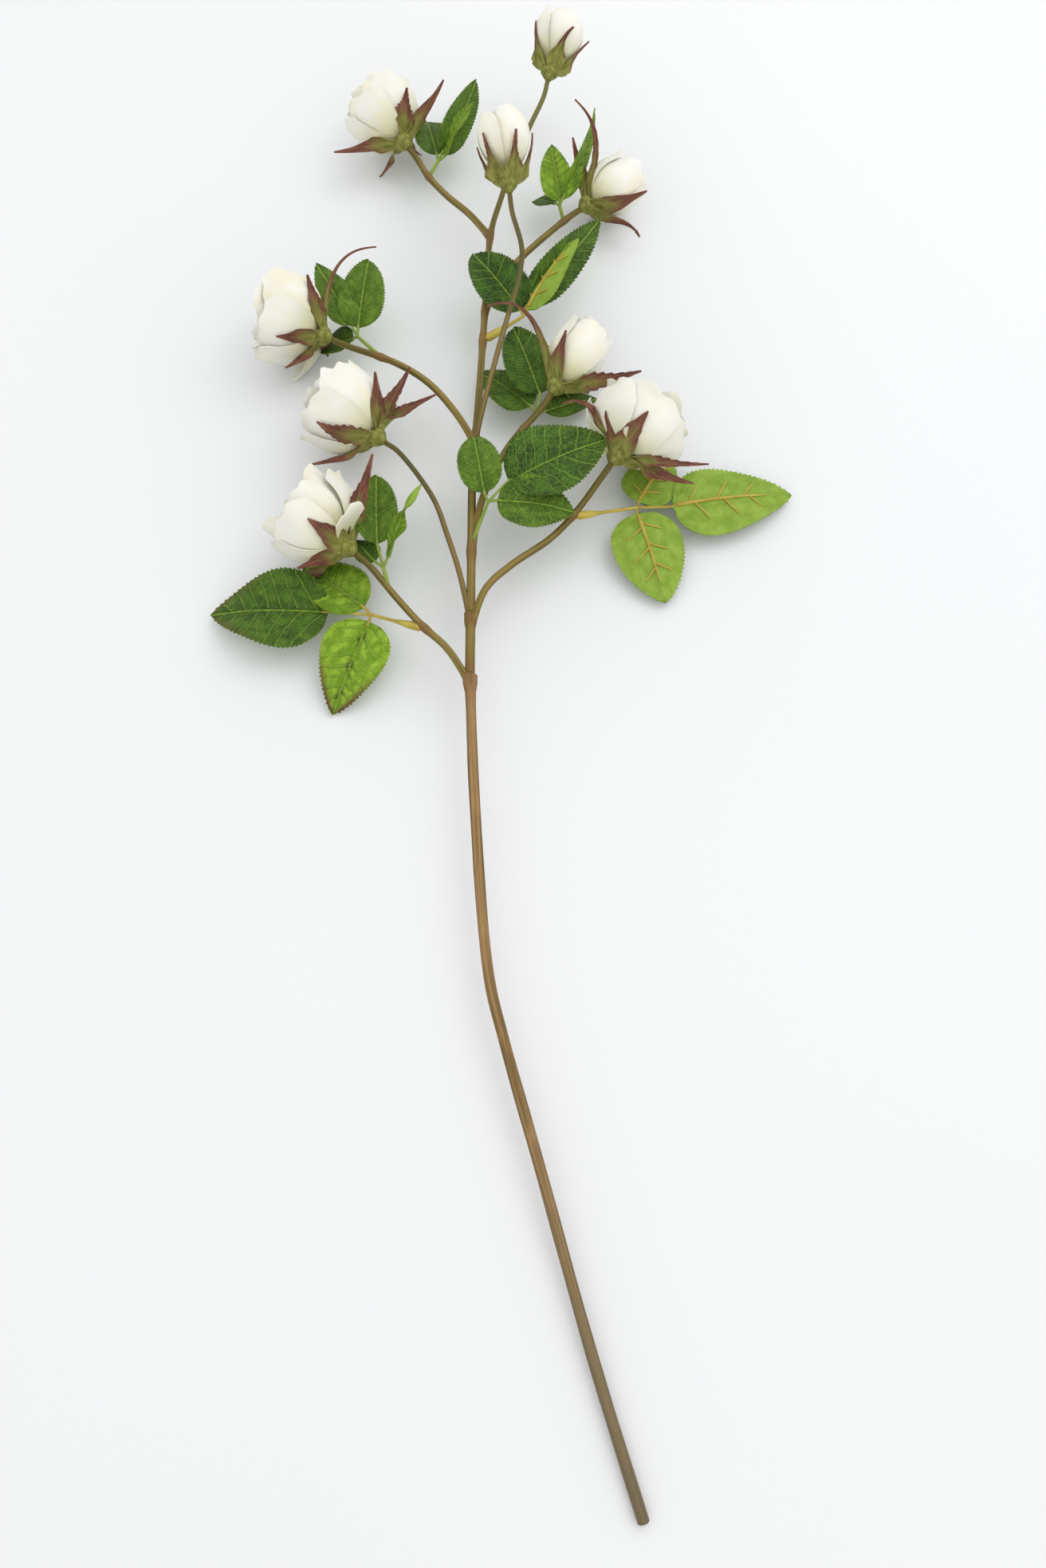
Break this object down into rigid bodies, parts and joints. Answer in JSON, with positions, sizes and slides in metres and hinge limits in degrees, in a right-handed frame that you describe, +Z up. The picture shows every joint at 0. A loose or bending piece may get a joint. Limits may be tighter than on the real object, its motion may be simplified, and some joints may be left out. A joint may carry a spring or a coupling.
{
  "type": "artificial cut rose spray",
  "caption": "Spray of cream-white artificial roses lying on its side, with open blooms, half-open blooms, buds and toothed leaves on a long forked stem.",
  "frame": {"origin": "on the surface the spray lies on, under the middle of its bounding box", "axes": "+Y along the stem from its cut end to its top bud, +X to the right of the stem seen from above, +Z up from the surface"},
  "size_m": [0.3188, 0.807, 0.084],
  "materials": {
    "stem_plastic": "moulded olive-brown plastic over wire, matte, with faint lengthwise streaks",
    "calyx_plastic": "moulded soft plastic, yellow-green turning red-brown towards the sepal tips",
    "petal_fabric": "thin matte cream-white flower fabric, pale yellow-green at the petal feet",
    "leaf_fabric": "printed green leaf fabric with pressed veins, bonded to moulded yellow-green ribs"
  },
  "bodies": {
    "root": {"half_rose_1_calyx": "calyx_plastic", "half_rose_1_heart": "petal_fabric", "half_rose_1_inner_petals": "petal_fabric", "half_rose_1_outer_petals": "petal_fabric", "half_rose_1_stem": "stem_plastic", "half_rose_2_calyx": "calyx_plastic", "half_rose_2_heart": "petal_fabric", "half_rose_2_inner_petals": "petal_fabric", "half_rose_2_outer_petals": "petal_fabric", "half_rose_2_stem": "stem_plastic", "leaf_1": "leaf_fabric", "leaf_2": "leaf_fabric", "leaf_3": "leaf_fabric", "leaf_4": "leaf_fabric", "leaf_5": "leaf_fabric", "leaf_6": "leaf_fabric", "leaf_7": "leaf_fabric", "leaf_8": "leaf_fabric", "leaf_9": "leaf_fabric", "lower_stem": "stem_plastic", "middle_stem": "stem_plastic", "rose_1_calyx": "calyx_plastic", "rose_1_heart": "petal_fabric", "rose_1_inner_petals": "petal_fabric", "rose_1_middle_petals": "petal_fabric", "rose_1_outer_petals": "petal_fabric", "rose_1_stem": "stem_plastic", "rose_2_calyx": "calyx_plastic", "rose_2_heart": "petal_fabric", "rose_2_inner_petals": "petal_fabric", "rose_2_middle_petals": "petal_fabric", "rose_2_outer_petals": "petal_fabric", "rose_2_stem": "stem_plastic", "rose_3_calyx": "calyx_plastic", "rose_3_heart": "petal_fabric", "rose_3_inner_petals": "petal_fabric", "rose_3_middle_petals": "petal_fabric", "rose_3_outer_petals": "petal_fabric", "rose_3_stem": "stem_plastic", "rose_4_calyx": "calyx_plastic", "rose_4_heart": "petal_fabric", "rose_4_inner_petals": "petal_fabric", "rose_4_middle_petals": "petal_fabric", "rose_4_outer_petals": "petal_fabric", "rose_4_stem": "stem_plastic", "rose_5_calyx": "calyx_plastic", "rose_5_heart": "petal_fabric", "rose_5_inner_petals": "petal_fabric", "rose_5_middle_petals": "petal_fabric", "rose_5_outer_petals": "petal_fabric", "rose_5_stem": "stem_plastic", "side_bud_calyx": "calyx_plastic", "side_bud_heart": "petal_fabric", "side_bud_outer_petals": "petal_fabric", "side_bud_stem": "stem_plastic", "top_bud_calyx": "calyx_plastic", "top_bud_heart": "petal_fabric", "top_bud_outer_petals": "petal_fabric", "upper_stem": "stem_plastic"}
  },
  "joints": []
}
